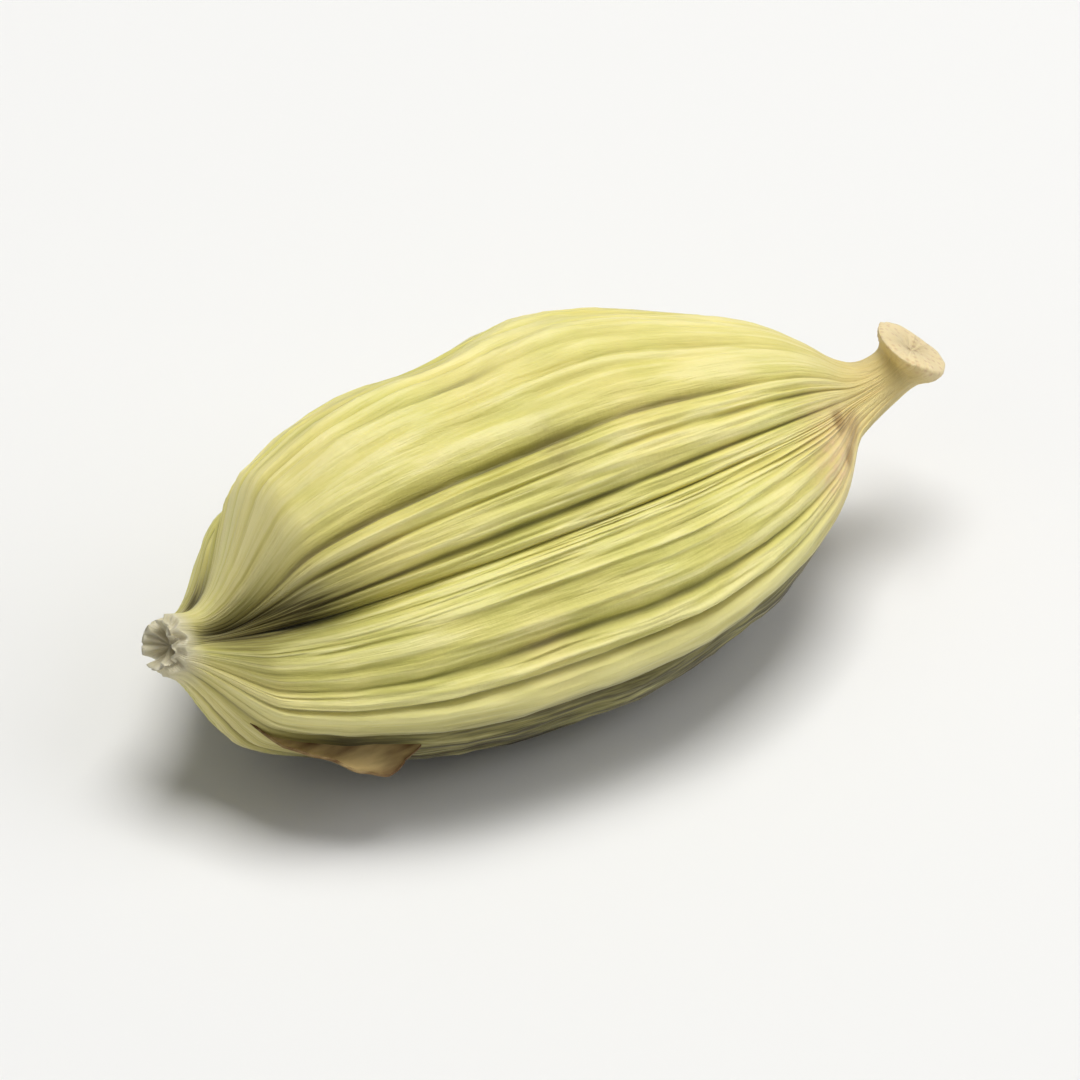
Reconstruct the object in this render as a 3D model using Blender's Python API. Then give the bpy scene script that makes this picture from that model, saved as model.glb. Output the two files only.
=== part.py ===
# Green cardamom pod, dried, lying on its side: a three-lobed, ribbed fruit in one natural piece.
# Metres, +Z up. +X runs from the withered flower end to the broken stalk.
# The origin is on the resting plane, under the middle of the pod's bounding box.

import math
import random

import bmesh
import bpy
from mathutils import Matrix, Vector

# Driving dimensions
POD_LENGTH = 0.0159  # along the bent middle line, flower collar to stalk end
HALF_WIDTH = 0.0038  # middle line to a lobe's crest, at the belly
REST_CUT = 0.00014  # what the flat resting spots take off the two lower lobes

# Ribs: nine to a lobe, so a furrow falls on a groove and a crest on a rib
LOBES = 3
RIBS_PER_LOBE = 9
RIBS = LOBES * RIBS_PER_LOBE
STEPS_PER_RIB = 4
STEPS_PER_SPAN = 2

# Outline from pole to pole: share of POD_LENGTH, share of HALF_WIDTH
OUTLINE = (
    (0.022, 0.000),  # floor of the hollow flower collar
    (0.014, 0.070),
    (0.000, 0.120),  # collar rim
    (0.012, 0.115),
    (0.022, 0.280),  # the lobes begin
    (0.036, 0.395),
    (0.050, 0.465),
    (0.068, 0.535),
    (0.088, 0.595),
    (0.112, 0.655),
    (0.140, 0.715),
    (0.180, 0.795),
    (0.250, 0.905),
    (0.350, 0.980),
    (0.460, 1.000),  # belly
    (0.570, 0.980),
    (0.660, 0.890),
    (0.735, 0.770),
    (0.800, 0.605),
    (0.850, 0.415),
    (0.888, 0.255),
    (0.918, 0.165),
    (0.945, 0.130),  # neck
    (0.968, 0.130),
    (0.984, 0.184),
    (0.998, 0.200),  # broken end of the stalk
    (1.000, 0.112),
    (0.994, 0.000),  # floor of its hollow
)
LOBES_FADE = (0.900, 0.970)  # shares of the length over which the stalk turns round

# The beak carries the collar, and each lobe ends bluntly against it
BEAK = 0.15  # radius, share of HALF_WIDTH
LOBE_STARTS = (0.040, 0.000, 0.008)  # upper, back and front lobe, share of the length
LOBE_RISES = (0.125, 0.165, 0.080)  # length over which each lobe's end rises, as a share
FURROW_START = 0.045
FURROW_RISE = 0.070
LOBE_END_ROUNDING = 0.35  # share of the way from furrow to crest

# Where furrows and crests stand round the pod, in degrees up from the front (-Y),
# starting at the furrow on the front face and going over the top
FURROWS_AND_CRESTS = (38, 95, 152, 212, 266, 360, 398)
CREST_REACH = (1.01, 1.00, 1.01)  # upper, back and front lobe, share of the outline
KEELS = (0.012, 0.020, 0.050)  # height of the ridge along each crest, share of the radius
KEEL_WIDTH = 0.10  # share of the way from crest to furrow
RIB_CROWDING = 1.3  # above 1, ribs stand closer near the furrows

FACE_HOLLOW = (0.20, 0.12)  # how flat the faces are, flower end and stalk end
FLATTER_FACES = (0.0, 0.0, 0.05)  # more of it on the front, back and lower face
FURROW_DEPTH = 0.48  # extra depth of the furrows at the flower end
FURROW_LENGTH = 0.17  # share of the length over which that depth fades
FURROW_WIDTH = (0.66, 0.34)  # share of the way to the crest, flower end and further along
FURROW_NARROWS = 0.10  # share of the length over which it does

GROOVE_DEPTH = 0.065  # deepest rib groove, share of the radius
FRONT_GROOVES_UP = (0.75, 0.55, 0.80, 0.25, 0.20, 0.30)  # from the front furrow upwards
FRONT_GROOVES_DOWN = (0.20, 0.22, 0.65, 0.90)  # and downwards
FRONT_STRAYS = {3: -0.35, -3: -0.58, -4: -0.32}  # those of them that stand low, share of a rib
FAINTEST_GROOVE = 0.35
GROOVE_STRAY = 0.28  # how far a groove may stand from its even place, share of a rib
GROOVE_WAVER = 0.30  # how much a groove's depth comes and goes along the pod
SEED = 7

# Bend of the middle line
LIFT_TOWARDS = Vector((0.0, 0.0, 1.0))  # both ends rise this way
FLOWER_TILT = math.radians(-27)
FLOWER_TILT_ENDS = 0.22
STALK_TILT = math.radians(57)
STALK_TILT_STARTS = 0.853
BELLY_TILT = math.radians(1.4)
LINE_STEPS = 200

# Dents: share of the length, degrees round, reach along and round, depth as a share of HALF_WIDTH
DENTS = (
    (0.10, 60, 0.050, 20, 0.30),  # the pit between the upper lobe's end and the beak
    (0.74, 100, 0.13, 50, 0.09),  # the upper lobe falls away towards the stalk
    (0.885, 345, 0.030, 70, 0.16),  # and the front lobe narrows quickly to the neck
    (0.41, 125, 0.07, 38, 0.045),
    (0.70, 60, 0.10, 24, 0.020),
    (0.30, 240, 0.12, 40, 0.030),
    (0.62, 178, 0.10, 35, 0.030),
)

RAGGED_RIM = 0.006  # how uneven the collar rim is, share of POD_LENGTH
RAGGED_WAVES = ((3, 0.7), (7, 2.1), (11, 4.0))  # waves round the rim, and where each starts
RAGGED_ENDS = 0.030  # share of the length where the rim's waves have died away

HUSK_COLOUR = (0.56, 0.52, 0.22, 1.0)
HUSK_ROUGHNESS = 0.62


def through(points, at):
    """A point on the smooth curve through the points; `at` counts one for each span."""
    span = min(int(at), len(points) - 2)
    t = at - span
    before, start, end, after = (
        points[min(max(span + step, 0), len(points) - 1)] for step in (-1, 0, 1, 2)
    )
    return tuple(
        0.5 * (2 * b + (c - a) * t + (2 * a - 5 * b + 4 * c - d) * t**2 + (3 * b - 3 * c + d - a) * t**3)
        for a, b, c, d in zip(before, start, end, after)
    )


def middle_line():
    """Points and tilts at even steps along the pod's bent middle line."""
    line = []
    place = Vector()
    for step in range(LINE_STEPS + 1):
        share = step / LINE_STEPS
        near_flower = max(0.0, 1 - share / FLOWER_TILT_ENDS)
        near_stalk = max(0.0, (share - STALK_TILT_STARTS) / (1 - STALK_TILT_STARTS))
        tilt = BELLY_TILT + FLOWER_TILT * near_flower**2 + STALK_TILT * near_stalk**2
        line.append((place.copy(), tilt))
        forward = Vector((math.cos(tilt), 0, 0)) + LIFT_TOWARDS * math.sin(tilt)
        place += forward * (POD_LENGTH / LINE_STEPS)
    return line


def groove_depths():
    """Depth, waver and stray of each groove. Groove 0 is the furrow on the front face."""
    draw = random.Random(SEED)
    grooves = [
        (draw.uniform(FAINTEST_GROOVE, 1), draw.random(), draw.uniform(-GROOVE_STRAY, GROOVE_STRAY))
        for _ in range(RIBS)
    ]
    seen = [(0, FAINTEST_GROOVE)]
    seen += [(step, depth) for step, depth in enumerate(FRONT_GROOVES_UP, 1)]
    seen += [(-step, depth) for step, depth in enumerate(FRONT_GROOVES_DOWN, 1)]
    for step, depth in seen:
        grooves[step] = (depth, grooves[step][1], FRONT_STRAYS.get(step, 0.0))
    return grooves


def angle_round(turn, grooves):
    """Degrees up from the front for a turn counted in ribs, and the way from furrow (0) to crest (1)."""
    first = int(turn) % RIBS
    past = turn - int(turn)
    stray = grooves[first][2] * (1 - past) + grooves[(first + 1) % RIBS][2] * past
    half_lobe = ((turn + stray) % RIBS) / RIBS * 2 * LOBES
    sector = int(half_lobe) % (2 * LOBES)
    way = half_lobe - int(half_lobe)
    from_furrow = way if sector % 2 == 0 else 1 - way
    crowded = from_furrow**RIB_CROWDING
    start, end = FURROWS_AND_CRESTS[sector : sector + 2]
    if sector % 2 == 0:
        return start + (end - start) * crowded, from_furrow
    return end - (end - start) * crowded, from_furrow


def lobed(turn, share, from_furrow):
    """Radius as a share of the outline's, from the three lobes, their keels and furrows."""
    place = turn / RIBS * LOBES
    nearest = int(place) % LOBES
    reach = 1 + (CREST_REACH[nearest] - 1) * from_furrow
    hollow = FACE_HOLLOW[0] + (FACE_HOLLOW[1] - FACE_HOLLOW[0]) * share
    hollow += FLATTER_FACES[round(place) % LOBES]
    face = hollow * math.cos(from_furrow * math.pi / 2) ** 2
    deep = FURROW_DEPTH * math.exp(-share / FURROW_LENGTH)
    wide = FURROW_WIDTH[1] + (FURROW_WIDTH[0] - FURROW_WIDTH[1]) * math.exp(-share / FURROW_NARROWS)
    furrow = deep * max(0.0, 1 - from_furrow / wide) ** 2
    keel = KEELS[nearest] * math.exp(-(((1 - from_furrow) / KEEL_WIDTH) ** 2))
    return reach * (1 - face - furrow + keel)


def groove_cut(turn, share, grooves):
    """What the rib grooves take off, as a share of the radius: sharp at a groove, nothing on a rib's back."""
    first = int(turn) % RIBS
    past = turn - int(turn)
    cut = 0.0
    for index, distance in ((first, past), ((first + 1) % RIBS, 1 - past)):
        depth, phase, _ = grooves[index]
        waver = 1 - GROOVE_WAVER * (0.5 + 0.5 * math.sin(2 * math.pi * (1.5 * share + phase)))
        cut += depth * waver * max(0.0, 1 - 2 * distance) ** 2
    return GROOVE_DEPTH * cut


def dented(share, degrees):
    """Depth of the shallow dents here, in metres."""
    depth = 0.0
    for at, round_at, along, across, deep in DENTS:
        apart = (degrees - round_at + 180) % 360 - 180
        depth += deep * math.exp(-(((share - at) / along) ** 2) - (apart / across) ** 2)
    return HALF_WIDTH * depth


def lobe_rise(share, turn, from_furrow):
    """How far the lobe has risen from the beak: 0 on the beak, 1 past the lobe's blunt end."""
    lobe = int(turn / RIBS * LOBES) % LOBES
    apart = min(1.0, from_furrow / LOBE_END_ROUNDING)
    start = FURROW_START + (LOBE_STARTS[lobe] - FURROW_START) * apart
    rise = FURROW_RISE + (LOBE_RISES[lobe] - FURROW_RISE) * apart
    past = min(1.0, max(0.0, (share - start) / rise))
    return past * past * (3 - 2 * past)


def ragged(share, angle):
    """How far the collar's torn rim stands out or in, as a share of the length."""
    waves = sum(math.sin(count * angle + start) for count, start in RAGGED_WAVES)
    return RAGGED_RIM * waves * max(0.0, 1 - share / RAGGED_ENDS)


def husk_point(run, turn, line, grooves):
    """A point of the husk: run goes 0 to 1 from pole to pole, turn counts ribs round the pod."""
    at = run * (len(OUTLINE) - 1)
    share, radius = through(OUTLINE, at)
    degrees, from_furrow = angle_round(turn, grooves)
    on_husk = min(1.0, max(0.0, (LOBES_FADE[1] - share) / (LOBES_FADE[1] - LOBES_FADE[0])))
    shape = lobed(turn, share, from_furrow) * (1 - groove_cut(turn, share, grooves))
    husk = radius * (1 + (shape - 1) * on_husk)
    beak = min(BEAK, radius)
    reach = HALF_WIDTH * (beak + (husk - beak) * lobe_rise(share, turn, from_furrow))
    reach -= dented(share, degrees) * min(1.0, radius)
    angle = math.radians(degrees)
    step = min(max(share + ragged(share, angle), 0.0), 1.0) * LINE_STEPS
    place, tilt = line[min(int(step), LINE_STEPS - 1)]
    following = line[min(int(step), LINE_STEPS - 1) + 1][0]
    centre = place.lerp(following, step - min(int(step), LINE_STEPS - 1))
    turn_up = Matrix.Rotation(tilt, 3, Vector((1, 0, 0)).cross(LIFT_TOWARDS))
    return centre + turn_up @ Vector((0, -math.cos(angle), math.sin(angle))) * reach


def husk_material():
    material = bpy.data.materials.new("dried husk")
    material.use_nodes = True
    surface = material.node_tree.nodes["Principled BSDF"]
    surface.inputs["Base Color"].default_value = HUSK_COLOUR
    surface.inputs["Roughness"].default_value = HUSK_ROUGHNESS
    surface.inputs["Metallic"].default_value = 0.0
    return material


def settle(form):
    """Flattens the resting spots and puts the origin under the middle of the bounding box."""
    floor = min(v.co.z for v in form.verts) + REST_CUT
    for v in form.verts:
        v.co.z = max(v.co.z, floor)
    middle = [
        (min(v.co[axis] for v in form.verts) + max(v.co[axis] for v in form.verts)) / 2
        for axis in (0, 1)
    ]
    bmesh.ops.translate(form, verts=form.verts, vec=(-middle[0], -middle[1], -floor))


def make_pod():
    line = middle_line()
    grooves = groove_depths()
    rings = (len(OUTLINE) - 1) * STEPS_PER_SPAN
    form = bmesh.new()
    bmesh.ops.create_uvsphere(form, u_segments=RIBS * STEPS_PER_RIB, v_segments=rings, radius=1)
    for v in form.verts:
        run = math.acos(max(-1.0, min(1.0, -v.co.z))) / math.pi
        turn = (math.atan2(v.co.y, v.co.x) / (2 * math.pi)) % 1 * RIBS
        v.co = husk_point(run, turn, line, grooves)
    settle(form)
    bmesh.ops.recalc_face_normals(form, faces=form.faces)
    mesh = bpy.data.meshes.new("pod")
    form.to_mesh(mesh)
    form.free()
    mesh.shade_smooth()
    mesh.materials.append(husk_material())
    return bpy.data.objects.new("pod", mesh)


def main():
    for leftover in list(bpy.data.objects):
        bpy.data.objects.remove(leftover)
    collection = bpy.data.collections.new("green cardamom pod")
    bpy.context.scene.collection.children.link(collection)
    collection.objects.link(make_pod())


main()
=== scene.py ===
import math
import random

import bmesh
import bpy
import numpy as np
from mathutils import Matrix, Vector


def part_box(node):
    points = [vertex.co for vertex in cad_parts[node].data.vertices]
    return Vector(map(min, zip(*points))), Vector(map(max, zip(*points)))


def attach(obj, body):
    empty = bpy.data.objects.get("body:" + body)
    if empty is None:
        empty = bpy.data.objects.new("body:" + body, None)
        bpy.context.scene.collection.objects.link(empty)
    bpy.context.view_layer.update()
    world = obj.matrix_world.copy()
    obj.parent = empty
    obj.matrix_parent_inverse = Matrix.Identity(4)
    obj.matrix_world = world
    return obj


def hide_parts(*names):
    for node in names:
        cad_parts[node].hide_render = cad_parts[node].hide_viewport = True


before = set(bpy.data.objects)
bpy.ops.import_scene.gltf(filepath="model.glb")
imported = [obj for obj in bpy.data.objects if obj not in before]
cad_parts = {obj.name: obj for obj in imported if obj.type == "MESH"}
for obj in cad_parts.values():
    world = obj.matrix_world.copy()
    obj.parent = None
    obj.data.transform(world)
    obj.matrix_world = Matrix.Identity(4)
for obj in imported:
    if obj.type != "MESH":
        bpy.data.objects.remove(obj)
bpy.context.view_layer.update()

mm = 0.001


# sRGB hex to the linear RGBA that Blender's sockets take
def linearColour(hexColour):
    values = [int(hexColour[i:i + 2], 16) / 255 for i in (1, 3, 5)]
    return [v / 12.92 if v <= 0.04045 else ((v + 0.055) / 1.055) ** 2.4 for v in values] + [1.0]


# gives a node's sockets their values or links
def setInputs(tree, node, inputs):
    for name, value in inputs.items():
        if isinstance(value, bpy.types.NodeSocket):
            tree.links.new(value, node.inputs[name])
        else:
            node.inputs[name].default_value = value


# adds a node with its settings, its ramp stops if it has any, and its values or links by socket
def addNode(tree, kind, inputs=None, stops=(), **settings):
    node = tree.nodes.new(kind)
    for name, value in settings.items():
        setattr(node, name, value)
    for index, (place, colour) in enumerate(stops):
        elements = node.color_ramp.elements
        element = elements[index] if index < 2 else elements.new(place)
        element.position = place
        element.color = linearColour(colour) if isinstance(colour, str) else (colour, colour, colour, 1)
    setInputs(tree, node, inputs or {})
    return node


def newMaterial(name):
    material = bpy.data.materials.new(name)
    material.use_nodes = True
    tree = material.node_tree
    return material, tree, tree.nodes["Principled BSDF"]


def addObject(name, data):
    thing = bpy.data.objects.new(name, data)
    bpy.context.scene.collection.objects.link(thing)
    return thing


# The pod's form has the same named values as the solid. The fine relief is added to it.
pod = {
    "length": 15.9 * mm,       # along the bent middle line, flower collar to stalk end
    "halfWidth": 3.8 * mm,     # middle line to a lobe's crest, at the belly
    "lobes": 3,
    "ribs": 27,
    "pointsPerRib": 24,        # 0.035 mm apart at the belly, fine enough for single fibres
    "rings": 146,              # 0.11 mm apart along the pod
    "outline": (               # from pole to pole: share of the length, share of the half width
        (0.022, 0.000), (0.014, 0.070), (0.000, 0.120), (0.012, 0.115), (0.022, 0.280),
        (0.036, 0.395), (0.050, 0.465), (0.068, 0.535), (0.088, 0.595), (0.112, 0.655),
        (0.140, 0.715), (0.180, 0.795), (0.250, 0.905), (0.350, 0.980), (0.460, 1.000),
        (0.570, 0.980), (0.660, 0.890), (0.735, 0.770), (0.800, 0.605), (0.850, 0.415),
        (0.888, 0.255), (0.918, 0.165), (0.945, 0.130), (0.968, 0.130), (0.984, 0.184),
        (0.998, 0.200), (1.000, 0.112), (0.994, 0.000),
    ),
    "lobesFade": (0.900, 0.970),   # shares of the length over which the stalk turns round
    "beak": 0.15,                  # radius of the neck that carries the collar, share of the half width
    "lobeStarts": (0.040, 0.000, 0.008),   # upper, back and front lobe, share of the length
    "lobeRises": (0.125, 0.165, 0.080),    # length over which each lobe's end rises
    "furrowStart": 0.045,
    "furrowRise": 0.070,
    "lobeEndRounding": 0.35,       # share of the way from furrow to crest
    "directions": (38, 95, 152, 212, 266, 360, 398),  # furrow, crest, furrow ... degrees up from the front
    "crestReach": (1.01, 1.00, 1.01),
    "keels": (0.012, 0.020, 0.050),        # height of the ridge along each crest, share of the radius
    "keelWidth": 0.10,             # share of the way from crest to furrow
    "ribCrowding": 1.3,            # above 1, ribs stand closer near the furrows
    "faceHollow": (0.20, 0.12),    # how flat the faces are, flower end and stalk end
    "flatterFaces": (0.0, 0.0, 0.05),      # more of it on the front, back and lower face
    "furrowDepth": 0.48,           # extra depth of the furrows at the flower end
    "furrowLength": 0.17,          # share of the length over which that depth fades
    "furrowWidth": (0.66, 0.34),   # share of the way to the crest, flower end and further along
    "furrowNarrows": 0.10,         # share of the length over which it narrows
    "grooveDepth": 0.065,          # deepest rib groove, share of the radius
    "groovesUp": (0.75, 0.55, 0.80, 0.25, 0.20, 0.30),    # from the front furrow upwards
    "groovesDown": (0.20, 0.22, 0.65, 0.90),              # and downwards
    "frontStrays": {3: -0.35, -3: -0.58, -4: -0.32},      # those that stand low, share of a rib
    "faintestGroove": 0.35,
    "grooveStray": 0.28,           # how far a groove may stand from its even place, share of a rib
    "grooveWaver": 0.30,           # how much a groove's depth comes and goes along the pod
    "grooveWaves": 1.5,            # and how often
    "seed": 7,
    "flowerTilt": (-27, 0.22),     # degrees at the very end, and the share of the length where it ends
    "stalkTilt": (57, 0.853),      # and where it starts
    "bellyTilt": 1.4,
    "lineSteps": 200,
    "dents": (                     # share along, degrees round, reach along and round, depth
        (0.10, 60, 0.050, 20, 0.30), (0.74, 100, 0.13, 50, 0.09), (0.885, 345, 0.030, 70, 0.16),
        (0.41, 125, 0.07, 38, 0.045), (0.70, 60, 0.10, 24, 0.020),
        (0.30, 240, 0.12, 40, 0.030), (0.62, 178, 0.10, 35, 0.030),
    ),
    "raggedRim": 0.006,            # how uneven the collar's rim is, share of the length
    "raggedWaves": ((3, 0.7), (7, 2.1), (11, 4.0)),       # waves round the rim, and where each starts
    "raggedEnds": 0.030,           # share of the length where the rim's waves have died away
}

relief = {                         # fine relief: heights and depths are shares of the local radius
    "meander": (0.16, 5, 11),      # share of a rib that ribs wander sideways, lengths along the pod, seed
    "veins": (81, 5, 0.015),       # how many round the pod, how many lengths along it, height
    "fibres": (189, 10, 0.009),
    "threads": (324, 16, 0.0040),
    "crumple": (60, 60, 0.0040),
    "swell": (9, 5, 0.020),
    "firstSeed": 21,               # veins to swell are drawn with this seed and the next four
    "creaseWidth": 0.10,           # share of a rib
    "creaseDepth": 0.020,
    "backCreases": (0.75, 0.6, 9, 20),     # on the ribs' backs: strength, steady share, waves, their shift
    "groovesShow": 0.4,            # below 1, grooves are dark even where a lobe has hardly risen
    "furrowAtBeak": 0.2,           # share of the furrow's painted shade that is left where it meets the beak
    "pastBox": (-0.04 * mm, -0.02 * mm, 0.05 * mm),  # how far it takes the husk past the solid's box
}

stub = {                           # the stalk broke off unevenly
    "starts": (0.972, 0.02),       # share of the length where that starts, and over which it grows
    "across": 0.07,                # how uneven it is across, share of the radius
    "lumps": (11, 3, 31),          # how many round it, how many along the pod, seed
    "nicks": (37, 3, 32),
    "nickShare": 0.3,              # height of the nicks, as a share of the lumps'
    "along": 0.004,                # how uneven it is along, share of the length
    "chips": (9, 4, 33),
}

marks = {                          # share along, degrees round, reach along, reach round
    "scar": ((0.870, 18, 0.015, 15), (0.848, 33, 0.008, 9), (0.845, 8, 0.008, 7)),
    "blush": ((0.835, 14, 0.050, 30), (0.60, 170, 0.06, 16)),
    "bruise": ((0.47, 64, 0.020, 9), (0.52, 235, 0.05, 16), (0.70, 130, 0.04, 12)),
    # the pits by the flower end get painted shade, strongest where the upper lobe overhangs
    "pitShade": ((0.070, 54, 0.050, 28), (0.14, 46, 0.07, 13), (0.07, 150, 0.03, 16), (0.07, 268, 0.03, 12)),
}
poleMarks = {"hollow": 1.6, "stubFace": 3.4}   # how many of the outline's spans from its own pole
underMark = {                      # painted shade on the side that lies down, from keel to keel: start and width of each edge
    "round": ((214, 9), (358, -7)),            # degrees
    "along": ((0.05, 0.10), (0.93, -0.08)),    # shares of the length
}


# 0 before start and 1 a width further on; a negative width makes it fall
def ramp(value, start, width):
    return np.clip((value - start) / width, 0, 1)


def eased(t):
    return t * t * (3 - 2 * t)


# smooth curve through the points, one unit of "at" for each span
def curveThrough(points, at):
    points = np.array(points, float)
    span = np.clip(at.astype(int), 0, len(points) - 2)
    t = (at - span)[..., None]
    a, b, c, d = (points[np.clip(span + step, 0, len(points) - 1)] for step in (-1, 0, 1, 2))
    square, cube = 2 * a - 5 * b + 4 * c - d, 3 * b - 3 * c + d - a
    curve = 0.5 * (2 * b + (c - a) * t + square * t**2 + cube * t**3)
    return curve[..., 0], curve[..., 1]


# smooth noise, -1 to 1, that closes on itself round the pod and is drawn out along it
def streaks(round01, along01, count, lengths, seed):
    table = np.random.default_rng(seed).uniform(-1, 1, (count, lengths + 2))
    x = (round01 % 1) * count
    y = np.clip(along01, 0, 1) * lengths
    column, row = x.astype(int) % count, y.astype(int)
    following = (column + 1) % count
    u, v = eased(x - x.astype(int)), eased(y - row)
    near = table[column, row] * (1 - v) + table[column, row + 1] * v
    far = table[following, row] * (1 - v) + table[following, row + 1] * v
    return near * (1 - u) + far * u


# soft round spots, added up where they overlap
def softSpots(share, degrees, places):
    total = np.zeros_like(share)
    for at, roundAt, along, across, strength in places:
        apart = (degrees - roundAt + 180) % 360 - 180
        total += strength * np.exp(-(((share - at) / along) ** 2) - (apart / across) ** 2)
    return total


# places and tilts along the pod's bent middle line
def middleLine():
    steps = pod["lineSteps"]
    share = np.arange(steps + 1) / steps
    flowerTilt, flowerEnds = pod["flowerTilt"]
    stalkTilt, stalkStarts = pod["stalkTilt"]
    tilt = np.full(steps + 1, float(pod["bellyTilt"]))
    tilt += flowerTilt * np.maximum(0, 1 - share / flowerEnds) ** 2
    tilt += stalkTilt * np.maximum(0, (share - stalkStarts) / (1 - stalkStarts)) ** 2
    tilt = np.radians(tilt)
    x = np.concatenate([[0], np.cumsum(np.cos(tilt))[:-1]]) * pod["length"] / steps
    z = np.concatenate([[0], np.cumsum(np.sin(tilt))[:-1]]) * pod["length"] / steps
    return share, x, z, tilt


# depth, phase and stray of each groove; groove 0 is the furrow on the front face
def grooveTable():
    draw = random.Random(pod["seed"])
    faint, stray = pod["faintestGroove"], pod["grooveStray"]
    rows = [[draw.uniform(faint, 1), draw.random(), draw.uniform(-stray, stray)] for _ in range(pod["ribs"])]
    seen = [(0, faint)]
    seen += [(step, depth) for step, depth in enumerate(pod["groovesUp"], 1)]
    seen += [(-step, depth) for step, depth in enumerate(pod["groovesDown"], 1)]
    for step, depth in seen:
        rows[step] = [depth, rows[step][1], pod["frontStrays"].get(step, 0.0)]
    return np.array(rows)


# which rib a point is past, how far, its share of the way from furrow to crest, and its direction
def placeRound(turn, grooves):
    ribs, lobes = pod["ribs"], pod["lobes"]
    first = np.floor(turn).astype(int) % ribs
    past = turn - np.floor(turn)
    stray = grooves[first, 2] * (1 - past) + grooves[(first + 1) % ribs, 2] * past
    half = ((turn + stray) % ribs) / ribs * 2 * lobes
    sector = half.astype(int) % (2 * lobes)
    way = half - half.astype(int)
    rising = sector % 2 == 0
    fromFurrow = np.where(rising, way, 1 - way)
    directions = np.array(pod["directions"], float)
    start, end = directions[sector], directions[sector + 1]
    crowded = fromFurrow ** pod["ribCrowding"]
    degrees = np.where(rising, start + (end - start) * crowded, end - (end - start) * crowded)
    return first, past, fromFurrow, degrees


# the cross-section with its flat faces, furrows and keels, and how far each lobe has risen from the beak
def lobedSection(turn, share, fromFurrow):
    place = turn % pod["ribs"] / pod["ribs"] * pod["lobes"]
    lobe = place.astype(int) % pod["lobes"]
    face = np.round(place).astype(int) % pod["lobes"]
    reach = 1 + (np.array(pod["crestReach"])[lobe] - 1) * fromFurrow
    flowerEnd, stalkEnd = pod["faceHollow"]
    hollow = flowerEnd + (stalkEnd - flowerEnd) * share + np.array(pod["flatterFaces"])[face]
    hollow = hollow * np.cos(fromFurrow * math.pi / 2) ** 2
    atFlower, further = pod["furrowWidth"]
    wide = further + (atFlower - further) * np.exp(-share / pod["furrowNarrows"])
    furrow = np.exp(-share / pod["furrowLength"]) * np.maximum(0, 1 - fromFurrow / wide) ** 2
    keel = np.array(pod["keels"])[lobe] * np.exp(-(((1 - fromFurrow) / pod["keelWidth"]) ** 2))
    lobed = reach * (1 - hollow - pod["furrowDepth"] * furrow + keel)

    # each lobe rises in a blunt end of its own
    apart = np.minimum(1, fromFurrow / pod["lobeEndRounding"])
    begins = pod["furrowStart"] + (np.array(pod["lobeStarts"])[lobe] - pod["furrowStart"]) * apart
    rises = pod["furrowRise"] + (np.array(pod["lobeRises"])[lobe] - pod["furrowRise"]) * apart
    return lobed, furrow, keel, eased(ramp(share, begins, rises))


# grooves, cut sharp between round-backed ribs, with a fine crease in each and another on some ribs' backs
def groovesAndCreases(share, first, past, grooves):
    cut, crease = np.zeros_like(share), np.zeros_like(share)
    for index, distance in ((first, past), ((first + 1) % pod["ribs"], 1 - past)):
        depth, phase = grooves[index, 0], grooves[index, 1]
        wave = np.sin(2 * math.pi * (pod["grooveWaves"] * share + phase))
        waver = 1 - pod["grooveWaver"] * (0.5 + 0.5 * wave)
        cut += depth * waver * np.maximum(0, 1 - 2 * distance) ** 2
        crease += depth * waver * np.exp(-((distance / relief["creaseWidth"]) ** 2))
    strength, steady, waves, shift = relief["backCreases"]
    phase = grooves[first, 1]
    onBack = strength * phase * (steady + (1 - steady) * np.sin(waves * share + shift * phase))
    crease += onBack * np.exp(-(((past - 0.5) / relief["creaseWidth"]) ** 2))
    return cut, crease


# veins, fibres and the rest of the fine relief, each -1 to 1; the first two are sharp-backed
def fineRelief(turn, share):
    fine = {}
    for seed, name in enumerate(("veins", "fibres", "threads", "crumple", "swell"), relief["firstSeed"]):
        count, lengths, _ = relief[name]
        fine[name] = streaks(turn / pod["ribs"], share, count, lengths, seed)
        if name in ("veins", "fibres"):
            fine[name] = 1 - 2 * np.abs(fine[name])
    return fine


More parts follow.
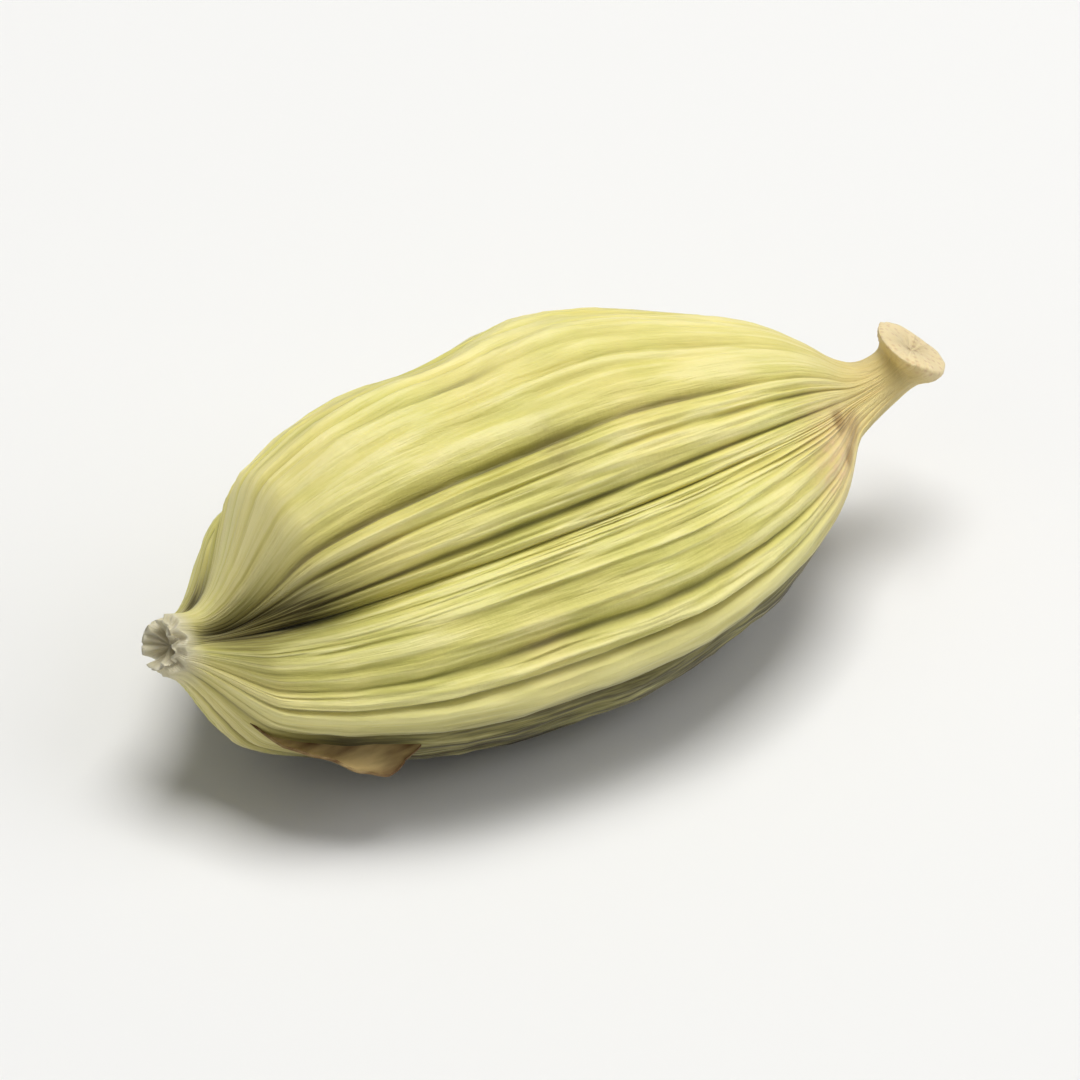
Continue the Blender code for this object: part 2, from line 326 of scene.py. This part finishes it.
# Places on the husk, and what the colours need to know there.
# run goes 0 to 1 from pole to pole, turn counts ribs round the pod.
def huskPoints(run, turn):
    lastPoint = len(pod["outline"]) - 1
    share, radius = curveThrough(pod["outline"], run * lastPoint)
    lobesEnd, allRound = pod["lobesFade"]
    onHusk = ramp(share, allRound, lobesEnd - allRound)
    grooves = grooveTable()
    round01 = turn / pod["ribs"]
    wander, lengths, seed = relief["meander"]
    turn = turn + wander * onHusk * streaks(round01, share, pod["ribs"], lengths, seed)
    first, past, fromFurrow, degrees = placeRound(turn, grooves)
    angle = np.radians(degrees)

    lobed, furrow, keel, risen = lobedSection(turn, share, fromFurrow)
    cut, crease = groovesAndCreases(share, first, past, grooves)
    fine = fineRelief(turn, share)
    detail = sum(relief[name][2] * fine[name] for name in fine)
    shape = lobed * (1 - pod["grooveDepth"] * cut) + detail - relief["creaseDepth"] * crease
    husk = radius * (1 + (shape - 1) * onHusk)
    beak = np.minimum(pod["beak"], radius)
    out = pod["halfWidth"] * (beak + (husk - beak) * risen)
    out -= pod["halfWidth"] * softSpots(share, degrees, pod["dents"]) * np.minimum(1, radius)

    # the broken end of the stalk
    atBreak = ramp(share, *stub["starts"])
    lumps, nicks = streaks(round01, share, *stub["lumps"]), streaks(round01, share, *stub["nicks"])
    out *= 1 + stub["across"] * atBreak * lumps + stub["nickShare"] * stub["across"] * atBreak * nicks
    chips = stub["along"] * atBreak * (0.5 + 0.5 * streaks(round01, radius, *stub["chips"]))

    # on to the bent middle line
    waves = sum(np.sin(count * angle + begin) for count, begin in pod["raggedWaves"])
    rim = pod["raggedRim"] * waves * np.maximum(0, 1 - share / pod["raggedEnds"])
    at = np.clip(share + rim - chips, 0, 1)
    lineShare, lineX, lineZ, lineTilt = middleLine()
    tilt = lineTilt[np.minimum((at * pod["lineSteps"]).astype(int), pod["lineSteps"] - 1)]
    up = np.sin(angle) * out
    points = np.stack([
        np.interp(at, lineShare, lineX) - np.sin(tilt) * up,
        -np.cos(angle) * out,
        np.interp(at, lineShare, lineZ) + np.cos(tilt) * up,
    ], -1)

    spots = {name: softSpots(share, degrees, [(*place, 1) for place in places])
             for name, places in marks.items()}
    spots["hollow"] = np.clip(poleMarks["hollow"] - run * lastPoint, 0, 1)
    spots["stubFace"] = np.clip(poleMarks["stubFace"] - (1 - run) * lastPoint, 0, 1)
    spots["under"] = np.prod([ramp(degrees, *edge) for edge in underMark["round"]]
                             + [ramp(share, *edge) for edge in underMark["along"]], 0)
    shown, atBeak = risen ** relief["groovesShow"], relief["furrowAtBeak"]
    return points, {
        **spots, "share": share, "degrees": degrees, "angle": angle,
        "groove": cut * shown, "crease": crease * shown, "furrow": furrow * (atBeak + (1 - atBeak) * risen),
        "keel": keel / max(pod["keels"]) * risen, "veins": fine["veins"], "fibres": fine["fibres"],
    }


# stands the points where the solid stands, flat spots on the floor
def settleOn(points):
    low, high = (np.array(corner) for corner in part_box("pod"))
    middle = (points.min(0) + points.max(0)) / 2
    offset = (low + high) / 2 - middle
    offset[2] = high[2] - points[:, 2].max()
    points = points + offset + np.array(relief["pastBox"])
    points[:, 2] = np.maximum(points[:, 2], low[2])
    return points


def setAttribute(mesh, name, values):
    kind, field = ("FLOAT_VECTOR", "vector") if values.ndim == 2 else ("FLOAT", "value")
    attribute = mesh.attributes.new(name, kind, "POINT")
    attribute.data.foreach_set(field, values.astype(np.float32).ravel())


huskLook = {
    # how deep in the relief a place is: these added up, then shaken by half of depthShaken, up or down
    "depths": {"groove": 0.50, "crease": 0.64, "furrow": 0.80, "veins": -0.16, "fibres": -0.12},
    "depthOfBacks": 0.14,
    "depthShaken": 0.62,
    # the husk's own greener hollows, plus painted shade that darkens grooves, creases and the flower-end
    # furrow
    "depthColoursAndShade": (
        (0.00, "#f4eba2"), (0.18, "#e2d97e"), (0.44, "#c9c062"), (0.70, "#8d8436"), (1.00, "#564d1c"),
    ),
    "green": "#b9bd5c", "straw": "#e9d791",            # patches a few millimetres across
    "patchEdges": ((0.36, 0.0), (0.64, 1.0)),
    "patchShare": 0.28,
    "spots": {                     # colour, strength, and what breaks it up
        # the first two are painted shade: the side that lies down, and the pits by the flower end
        "under": ("#3c3409", 1.7, "threads"), "pitShade": ("#4c430e", 1.9, "threads"),
        "blush": ("#e6c094", 1.4, "specks"), "bruise": ("#9a8a52", 0.8, "specks"),
        "scar": ("#80581f", 3.0, "threads"),
    },
    "keel": "#f4eba2", "keelShare": 0.55,
    "stalk": "#f2da96", "stalkPart": ((0.80, 0.0), (0.93, 0.85)),      # share of the length, how much of it
    "collar": "#e4dcc4", "collarPart": ((0.012, 0.85), (0.040, 0.0)),
    "hollow": "#d9cfae",
    "pith": ((0.16, "#e9cb99"), (0.42, "#f8e2ad")),    # a strand's cut end, and what is round it
    "threadWidth": 0.11 * mm,      # real ones are finer, and wouldn't show at this distance
    "threadStretch": 0.07,         # their width as a share of their length
    "patchSize": 2.375 * mm,
    "speckSize": 0.1727 * mm,
    "strandSpacing": 0.13 * mm,
    "roughness": (0.46, 0.22),     # smoothest, and what the threads' noise adds
    "threadBump": (0.85, 0.05 * mm),   # strength, height
    "speckBump": (0.25, 0.05 * mm),
    "surface": {
        "Specular IOR Level": 0.42, "Sheen Weight": 0.12, "Sheen Roughness": 0.45,
        "Subsurface Weight": 0.12, "Subsurface Radius": (1.0, 0.85, 0.35), "Subsurface Scale": 0.25 * mm,
    },
}


# rings of points from the flower end's pole to the stalk end's, closed by a fan at each
def makePod():
    around, rings = pod["ribs"] * pod["pointsPerRib"], pod["rings"]
    ring, column = (a.ravel() for a in np.mgrid[1:rings, 0:around])
    run = np.concatenate([ring / rings, [0, 1]])
    turn = np.concatenate([column / pod["pointsPerRib"], [0, 0]])
    points, facts = huskPoints(run, turn)
    points = settleOn(points)
    here = np.arange((rings - 2) * around)
    beside = here - here % around + (here + 1) % around
    faces = np.stack([here, here + around, beside + around, beside], 1).tolist()
    flowerPole, stalkPole, last = len(run) - 2, len(run) - 1, (rings - 2) * around
    edges = [(a, (a + 1) % around) for a in range(around)]
    faces += [(flowerPole, a, b) for a, b in edges]
    faces += [(stalkPole, b + last, a + last) for a, b in edges]
    mesh = bpy.data.meshes.new("podHusk")
    mesh.from_pydata(points.tolist(), [], faces)

    # the hollows' own tone and the painted shade in grooves, creases and furrows, by depth in the relief
    depth = sum(weight * facts[name] for name, weight in huskLook["depths"].items())
    setAttribute(mesh, "hollowToneAndShade", np.clip(depth + huskLook["depthOfBacks"], 0, 1))
    for name in ("keel", *marks, "under", "hollow", "stubFace"):
        setAttribute(mesh, name, np.clip(facts[name], 0, 1))
    setAttribute(mesh, "share", facts["share"])
    along = facts["share"] * pod["length"] / pod["halfWidth"]
    setAttribute(mesh, "fibre", np.stack([np.cos(facts["angle"]), np.sin(facts["angle"]), along], 1))
    mesh.update()
    mesh.shade_smooth()
    return addObject("podHusk", mesh), points, facts


# Dried cardamom husk, shrunk on to its ribs as it was kiln dried. That leaves it matte and fibrous,
# straw pale on the ribs' backs and olive in the hollows, with a faint sheen along the fibres.
# Painted shade darkens its grooves, creases, flower-end furrows and pits, and the side that lies down.
def huskMaterial():
    material, tree, surface = newMaterial("kiln dried fibrous husk")
    look = huskLook
    fact = {name: addNode(tree, "ShaderNodeAttribute", attribute_name=name).outputs["Fac"]
            for name in ("hollowToneAndShade", "keel", "share", "stubFace", "hollow", *look["spots"])}
    fibre = addNode(tree, "ShaderNodeAttribute", attribute_name="fibre").outputs["Vector"]
    lengthwise = addNode(tree, "ShaderNodeMapping", {
        "Vector": fibre, "Scale": (1, 1, look["threadStretch"])}).outputs["Vector"]
    noise = {}
    for name, vector, size, detail, uneven in (("threads", lengthwise, look["threadWidth"], 3.0, 0.6),
                                               ("patches", fibre, look["patchSize"], 3.0, 0.55),
                                               ("specks", fibre, look["speckSize"], 2.0, 0.5)):
        noise[name] = addNode(tree, "ShaderNodeTexNoise", {
            "Vector": vector, "Scale": pod["halfWidth"] / size,
            "Detail": detail, "Roughness": uneven}).outputs["Fac"]
    threads = noise["threads"]

    # hollows are greener than the ribs' backs, and darker still with painted shade in the grooves, creases
    # and flower-end furrows
    shaken = addNode(tree, "ShaderNodeMath", {
        0: threads, 1: look["depthShaken"], 2: -look["depthShaken"] / 2}, operation="MULTIPLY_ADD").outputs[0]
    depth = addNode(tree, "ShaderNodeMath", {0: fact["hollowToneAndShade"], 1: shaken}, operation="ADD").outputs[0]
    base = addNode(tree, "ShaderNodeValToRGB", {"Fac": depth}, stops=look["depthColoursAndShade"]).outputs["Color"]

    patchPart = addNode(tree, "ShaderNodeValToRGB", {"Fac": noise["patches"]}, stops=look["patchEdges"])
    tint = addNode(tree, "ShaderNodeMix", {
        "Factor": patchPart.outputs["Color"], 6: linearColour(look["green"]), 7: linearColour(look["straw"])},
        data_type="RGBA").outputs[2]
    layers = [(look["patchShare"], tint)]

    # painted shade under the pod and in the pits by the flower end; a scar and a blush by the stalk, some
    # bruises
    for name, (spotColour, strength, breaking) in look["spots"].items():
        broken = addNode(tree, "ShaderNodeMath", {0: fact[name], 1: noise[breaking]}, operation="MULTIPLY")
        amount = addNode(tree, "ShaderNodeMath", {0: broken.outputs[0], 1: strength},
                         operation="MULTIPLY", use_clamp=True).outputs[0]
        layers.append((amount, linearColour(spotColour)))

    # pale keel, tan neck, pithy stub with the cut ends of darker strands in it, grey collar
    keelPart = addNode(tree, "ShaderNodeMath", {0: fact["keel"], 1: look["keelShare"]}, operation="MULTIPLY")
    stalkPart = addNode(tree, "ShaderNodeValToRGB", {"Fac": fact["share"]}, stops=look["stalkPart"])
    collarPart = addNode(tree, "ShaderNodeValToRGB", {"Fac": fact["share"]}, stops=look["collarPart"])
    strands = addNode(tree, "ShaderNodeTexVoronoi", {
        "Vector": addNode(tree, "ShaderNodeTexCoord").outputs["Object"],
        "Scale": 1 / look["strandSpacing"], "Randomness": 0.9}).outputs["Distance"]
    pith = addNode(tree, "ShaderNodeValToRGB", {"Fac": strands}, stops=look["pith"]).outputs["Color"]
    layers += [
        (keelPart.outputs[0], linearColour(look["keel"])),
        (stalkPart.outputs["Color"], linearColour(look["stalk"])),
        (fact["stubFace"], pith),
        (collarPart.outputs["Color"], linearColour(look["collar"])),
        (fact["hollow"], linearColour(look["hollow"])),
    ]
    colour = base
    for amount, over in layers:
        mix = addNode(tree, "ShaderNodeMix", {"Factor": amount, 6: colour, 7: over}, data_type="RGBA")
        colour = mix.outputs[2]

    smoothest, rougher = look["roughness"]
    rough = addNode(tree, "ShaderNodeMath", {0: threads, 1: rougher, 2: smoothest}, operation="MULTIPLY_ADD")
    strength, high = look["threadBump"]
    grain = addNode(tree, "ShaderNodeBump", {"Height": threads, "Strength": strength, "Distance": high})
    strength, high = look["speckBump"]
    pitted = addNode(tree, "ShaderNodeBump", {
        "Height": noise["specks"], "Strength": strength, "Distance": high, "Normal": grain.outputs["Normal"]})
    setInputs(tree, surface, {
        "Base Color": colour, "Roughness": rough.outputs[0], "Normal": pitted.outputs["Normal"],
        **look["surface"]})
    return material


flap = {
    "share": (0.072, 0.236),       # along the front lobe's underside, near the flower end
    "degrees": 341,                # below the keel
    "rootPoints": 9,               # places on the husk that its root runs through
    "lengthInDegrees": 400,        # a pod's length counts as this many degrees in the search for them
    "sunk": 0.06 * mm,             # how deep the root is in the husk
    "width": 0.80 * mm,
    "pointed": 0.65,               # 1 for ends as pointed as a leaf's, less for blunter ones
    "torn": (0.10, 9, 2),          # how uneven its free edge is, waves along it, and where they start
    "nicked": (0.03, 31),
    "outward": (0.05, -0.80, -0.60),
    "curl": 0.30 * mm,
    "curlWaves": (0.5, 4, 1),
    "thickness": 0.05 * mm,
    "steps": (72, 24),
    "colours": ((0.48, "#d6bb80"), (0.92, "#6b4b1f")),     # tan, brown
    "mottleSize": 0.30 * mm,
    "mottleStretch": 0.25,
    "rim": (4.0, 0.50),            # painted shade towards the free edge: power, how much
    "root": (0.30, -0.45),         # and painted shade towards the root: how much there, what a width outwards adds
    "roughness": 0.6,
    "bump": (0.5, 0.04 * mm),
}


# the scrap of torn husk under the front lobe: a leaf pointed at both ends, its free edge curled up
def makeFlap(places, facts):
    alongSteps, acrossSteps = flap["steps"]
    outward = np.array(flap["outward"])
    begin, end = flap["share"]
    rootShares = np.linspace(0, 1, flap["rootPoints"])
    around = np.abs((facts["degrees"] - flap["degrees"] + 180) % 360 - 180)
    roots = []
    for at in rootShares:
        apart = (facts["share"] - begin - (end - begin) * at) * flap["lengthInDegrees"]
        roots.append(places[np.argmin(apart ** 2 + around ** 2)])
    torn, tornWaves, tornStart = flap["torn"]
    nicked, nicks = flap["nicked"]
    curled, curlWaves, curlStart = flap["curlWaves"]
    tip = 0.001   # keeps the sine above zero at the very ends
    form = bmesh.new()
    bmesh.ops.create_grid(form, x_segments=alongSteps, y_segments=acrossSteps, size=0.5)
    edge = []
    for v in form.verts:
        along, across = v.co.x + 0.5, v.co.y + 0.5
        root = np.array([np.interp(along, rootShares, [r[axis] for r in roots]) for axis in range(3)])
        leaf = math.sin(math.pi * min(max(along, tip), 1 - tip)) ** flap["pointed"]
        ragged = 1 + torn * math.sin(tornWaves * along + tornStart) * across
        ragged += nicked * math.sin(nicks * along) * across ** 3
        reach = flap["width"] * leaf * across * ragged
        lift = flap["curl"] * leaf * across ** 2 * (1 + curled * math.sin(curlWaves * along + curlStart))
        v.co = Vector(root + outward * (reach - flap["sunk"])) + Vector((0, 0, lift))
        edge.append(across)
    mesh = bpy.data.meshes.new("tornScrap")
    form.to_mesh(mesh)
    form.free()
    setAttribute(mesh, "edge", np.array(edge))
    mesh.shade_smooth()
    scrap = addObject("tornScrap", mesh)
    solid = scrap.modifiers.new("thickness", "SOLIDIFY")
    solid.thickness = flap["thickness"]
    solid.offset = 0
    return scrap


# torn husk that dried brown: papery and matte, tan with browner mottling in its fibres, and painted shade
# along its rim and at its root
def scrapMaterial():
    material, tree, surface = newMaterial("browned torn husk")
    edge = addNode(tree, "ShaderNodeAttribute", attribute_name="edge").outputs["Fac"]
    drawnOut = addNode(tree, "ShaderNodeMapping", {
        "Vector": addNode(tree, "ShaderNodeTexCoord").outputs["Object"],
        "Scale": (flap["mottleStretch"], 1, 1)}).outputs["Vector"]
    mottle = addNode(tree, "ShaderNodeTexNoise", {
        "Vector": drawnOut, "Scale": 1 / flap["mottleSize"], "Detail": 4.0}).outputs["Fac"]
    # painted shade along the free edge and at the root, added to the scrap's own mottle
    power, rimShadeShare = flap["rim"]
    rootShare, outwards = flap["root"]
    rim = addNode(tree, "ShaderNodeMath", {0: edge, 1: power}, operation="POWER").outputs[0]
    rootShade = addNode(tree, "ShaderNodeMath", {0: edge, 1: outwards, 2: rootShare}, operation="MULTIPLY_ADD")
    rimShadeAndMottle = addNode(tree, "ShaderNodeMath", {0: rim, 1: rimShadeShare, 2: mottle}, operation="MULTIPLY_ADD")
    amount = addNode(tree, "ShaderNodeMath", {0: rimShadeAndMottle.outputs[0], 1: rootShade.outputs[0]}, operation="ADD")
    colour = addNode(tree, "ShaderNodeValToRGB", {"Fac": amount.outputs[0]}, stops=flap["colours"])
    strength, high = flap["bump"]
    bump = addNode(tree, "ShaderNodeBump", {"Height": mottle, "Strength": strength, "Distance": high})
    setInputs(tree, surface, {
        "Base Color": colour.outputs["Color"], "Roughness": flap["roughness"],
        "Normal": bump.outputs["Normal"]})
    return material


floorLook = {"colour": "#ebebe9", "roughness": 0.7, "specular": 0.2, "size": 1.2}


# matte painted board, pale, so that only the soft shadow shows on it
def makeFloor():
    form = bmesh.new()
    bmesh.ops.create_grid(form, x_segments=1, y_segments=1, size=floorLook["size"] / 2)
    mesh = bpy.data.meshes.new("floor")
    form.to_mesh(mesh)
    form.free()
    material, tree, surface = newMaterial("matte painted board")
    setInputs(tree, surface, {
        "Base Color": linearColour(floorLook["colour"]), "Roughness": floorLook["roughness"],
        "Specular IOR Level": floorLook["specular"]})
    mesh.materials.append(material)
    addObject("floor", mesh)


shot = {
    "azimuth": -28.9, "elevation": 42.0,   # the photograph's viewing angle on this pod
    "distance": 0.34,                      # far off with a long lens, for the photo's flat perspective
    "frameWidth": 19.5 * mm,
    "aim": (-0.3 * mm, 0.0, 2.6 * mm),
    "sensor": 36,                          # in mm, as the lens is
    "clip": (0.01, 10),
}


def makeCamera():
    azimuth, elevation = math.radians(shot["azimuth"]), math.radians(shot["elevation"])
    level = math.cos(elevation)
    towards = Vector((math.sin(azimuth) * level, -math.cos(azimuth) * level, math.sin(elevation)))
    lens = bpy.data.cameras.new("camera")
    lens.sensor_width = shot["sensor"]
    lens.lens = shot["sensor"] * shot["distance"] / shot["frameWidth"]
    lens.clip_start, lens.clip_end = shot["clip"]
    camera = addObject("camera", lens)
    camera.location = Vector(shot["aim"]) + towards * shot["distance"]
    camera.rotation_euler = towards.to_track_quat("Z", "Y").to_euler()
    bpy.context.scene.camera = camera


studio = {
    "lamps": {
        "key": {"from": (0.17, 0.10, 1.0), "away": 0.30, "size": 0.17, "watts": 0.76, "colour": "#fffefd"},
        "fill": {"from": (0.90, -0.55, 0.9), "away": 0.40, "size": 0.30, "watts": 0.43, "colour": "#fbfbff"},
        "side": {"from": (-1.0, -0.25, 0.75), "away": 0.40, "size": 0.30, "watts": 0.11, "colour": "#fdfdff"},
    },
    "sky": {"colour": "#f6f7f8", "strength": 0.20},
}


def makeLights():
    for name, look in studio["lamps"].items():
        lamp = bpy.data.lights.new(name, "AREA")
        lamp.energy = look["watts"]
        lamp.size = look["size"]
        lamp.color = linearColour(look["colour"])[:3]
        direction = Vector(look["from"]).normalized()
        holder = addObject(name, lamp)
        holder.location = direction * look["away"]
        holder.rotation_euler = direction.to_track_quat("Z", "Y").to_euler()
    world = bpy.data.worlds.new("sky")
    world.use_nodes = True
    setInputs(world.node_tree, world.node_tree.nodes["Background"], {
        "Color": linearColour(studio["sky"]["colour"]), "Strength": studio["sky"]["strength"]})
    bpy.context.scene.world = world
    bpy.context.scene.view_settings.view_transform = "Standard"


makeCamera()
makeLights()
makeFloor()
print("camera, lights and floor are in place")

husk, huskPlaces, huskFacts = makePod()
husk.data.materials.append(huskMaterial())
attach(husk, "root")
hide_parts("pod")
print("pod husk:", len(husk.data.polygons), "faces")

scrap = makeFlap(huskPlaces, huskFacts)
scrap.data.materials.append(scrapMaterial())
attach(scrap, "root")
print("torn scrap under the front lobe is in place")
